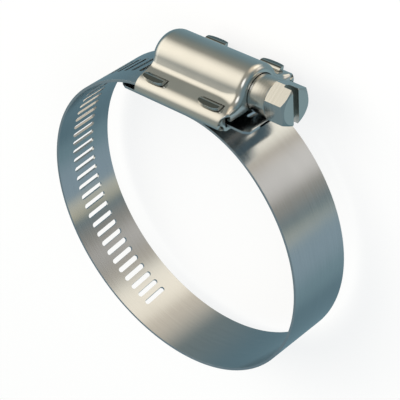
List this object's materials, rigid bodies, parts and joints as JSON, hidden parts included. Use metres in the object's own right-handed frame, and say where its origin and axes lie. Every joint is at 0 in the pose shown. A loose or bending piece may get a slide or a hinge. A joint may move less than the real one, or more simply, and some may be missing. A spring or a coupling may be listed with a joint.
{
  "type": "worm drive hose clamp",
  "caption": "Steel hose clamp: a slotted band bent round the hose, drawn through a pressed housing by a worm screw with a slotted hexagon head.",
  "frame": {"origin": "under the middle of the bounding box, on the plane that the clamp lies on", "axes": "+X along the worm screw towards its head, +Y from the ring's centre to the housing, +Z along the hose"},
  "size_m": [0.0726, 0.082, 0.0235],
  "materials": {
    "band_steel": "stainless strip, brushed lengthwise",
    "pressed_steel": "bright drawn stainless sheet",
    "saddle_steel": "folded stainless sheet",
    "screw_steel": "turned and milled stainless"
  },
  "bodies": {
    "clamp": {"band": "band_steel", "housing": "pressed_steel", "saddle": "saddle_steel"},
    "screw": {"worm_screw": "screw_steel"}
  },
  "joints": [
    {"name": "screw_turn", "type": "hinge", "parent": "clamp", "child": "screw", "pos_m": [0, 0.03515, 0.01175], "axis": [1, 0, 0], "continuous": true, "deforming": ["band"]}
  ]
}
